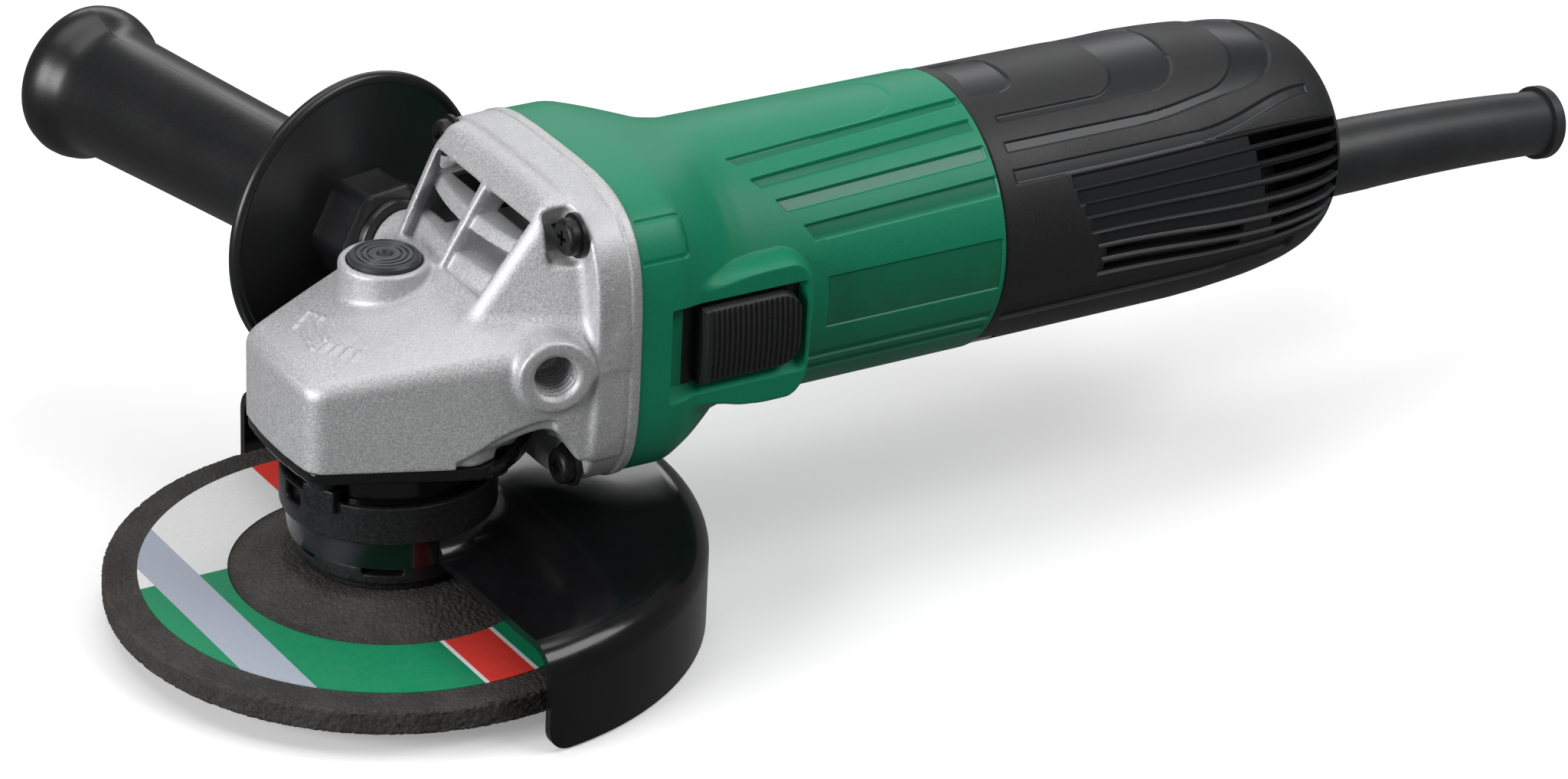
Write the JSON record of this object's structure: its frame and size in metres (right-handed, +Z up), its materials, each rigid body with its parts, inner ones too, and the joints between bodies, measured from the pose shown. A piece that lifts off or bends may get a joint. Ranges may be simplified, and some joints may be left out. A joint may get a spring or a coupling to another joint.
{
  "type": "angle grinder",
  "caption": "Corded angle grinder with a cast gear case, turning guard, depressed-centre wheel, side handle, slide switch and spindle lock over a meshed bevel drive.",
  "frame": {"origin": "on the spindle axis, in the plane of the wheel's grinding face and of the nut's outer face", "axes": "+Z up the spindle axis, +X along the motor axis towards the cord, +Y towards the side handle"},
  "size_m": [0.383, 0.2257, 0.1048],
  "materials": {
    "cast_aluminium": "bead-blasted die casting",
    "green_plastic": "fine moulded texture",
    "plate_green": "smooth",
    "black_plastic": "fine moulded texture, smooth inlays",
    "guard_black": "glossy black coating",
    "dark_steel": "phosphated steel",
    "black_rubber": "satin",
    "abrasive": "coarse bonded grit",
    "label": "printed paper",
    "steel": "ground steel",
    "laminations": "stacked sheets",
    "copper": "enamelled copper",
    "carbon": "pressed carbon",
    "brass": "drawn brass",
    "bronze": "sintered bronze",
    "felt": "pressed felt",
    "inner_plastic": "moulded"
  },
  "bodies": {
    "housing": {"gear_case": "cast_aluminium", "packing_gland": "guard_black", "gland_screws": "dark_steel", "gear_case_screws": "dark_steel", "motor_housing": "green_plastic", "name_plate": "plate_green", "rear_cover": "black_plastic", "rear_cover_screws": "dark_steel", "cord_armor": "black_rubber", "cord_clip": "inner_plastic", "cord_clip_screws": "steel", "terminal_block": "inner_plastic", "switch_body": "inner_plastic", "top_bush": "bronze", "bearing_retainer": "steel", "dust_seal": "felt", "spindle_bearing_outer": "steel", "spindle_bearing_balls": "steel", "front_bearing_outer": "steel", "front_bearing_balls": "steel", "rear_bearing_outer": "steel", "rear_bearing_balls": "steel", "rear_bearing_sleeve": "black_rubber", "front_bearing_cover": "steel", "stator_core": "laminations", "field_coils": "copper", "fan_baffle": "inner_plastic", "brush_holders": "brass", "carbon_brushes": "carbon", "brush_springs": "steel", "side_handle": "black_plastic", "handle_bolt": "steel"},
    "spindle": {"spindle": "steel", "bevel_gear": "steel", "gear_circlip": "dark_steel", "spindle_bearing_inner": "steel", "wheel_washer": "dark_steel", "grinding_wheel": "abrasive", "wheel_label": "label", "wheel_nut": "dark_steel"},
    "armature": {"armature_shaft": "steel", "armature_core": "laminations", "armature_windings": "copper", "commutator": "copper", "fan": "inner_plastic", "pinion": "steel", "pinion_nut": "steel", "front_bearing_inner": "steel", "rear_bearing_inner": "steel"},
    "guard": {"guard": "guard_black", "guard_clamp": "dark_steel", "guard_clamp_screw": "steel"},
    "switch_slider": {"slide_knob": "black_plastic", "slide_bar": "inner_plastic"},
    "lock": {"lock_button": "black_rubber", "lock_pin": "steel", "lock_spring": "steel"}
  },
  "joints": [
    {"name": "spindle_spin", "type": "hinge", "parent": "housing", "child": "spindle", "pos_m": [0, 0, 0.0652], "axis": [0, 0, 1], "continuous": true},
    {"name": "armature_spin", "type": "hinge", "parent": "housing", "child": "armature", "pos_m": [0, 0, 0.0652], "axis": [1, 0, 0], "continuous": true},
    {"name": "guard_turn", "type": "hinge", "parent": "housing", "child": "guard", "pos_m": [0, 0, 0.0195], "axis": [0, 0, 1], "range_deg": [-60, 90]},
    {"name": "switch_slide", "type": "slide", "parent": "housing", "child": "switch_slider", "axis": [-1, 0, 0], "range_m": [0, 0.0075]},
    {"name": "lock_press", "type": "slide", "parent": "housing", "child": "lock", "axis": [0, 0, -1], "range_m": [0, 0.004], "stiffness_N_per_m": 1500, "springref_m": -0.003, "deforming": ["lock_spring"]}
  ],
  "couplings": [
    {"joint": "armature_spin", "follows": "spindle_spin", "ratio": 3.1667}
  ]
}
